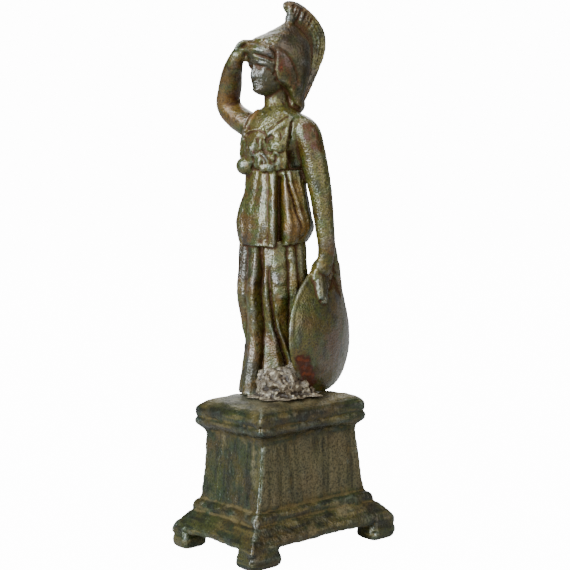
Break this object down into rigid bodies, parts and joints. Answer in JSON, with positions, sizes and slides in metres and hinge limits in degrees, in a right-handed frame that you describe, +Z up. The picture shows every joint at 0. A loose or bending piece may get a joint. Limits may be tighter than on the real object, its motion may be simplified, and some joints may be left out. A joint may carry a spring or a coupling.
{
  "type": "bronze statuette",
  "caption": "Small cast bronze statuette of a helmeted goddess with a raised hand and a shield, on a hollow moulded bronze pedestal with feet.",
  "frame": {"origin": "on the ground, under the middle of the whole work's bounding box", "axes": "+Z up; +Y along the pedestal's long side, to the back; +X to the right, seen from the pedestal's narrow front"},
  "size_m": [0.0388, 0.0506, 0.1484],
  "materials": {
    "pedestal_bronze": "dark green-brown patina, worn bright on the edges",
    "figure_bronze": "dark olive patina with red-brown patches, glossy on the high places",
    "lead_solder": "matte, pale and crumbly, corroded"
  },
  "bodies": {
    "root": {"pedestal": "pedestal_bronze", "figure": "figure_bronze", "solder": "lead_solder"}
  },
  "joints": []
}
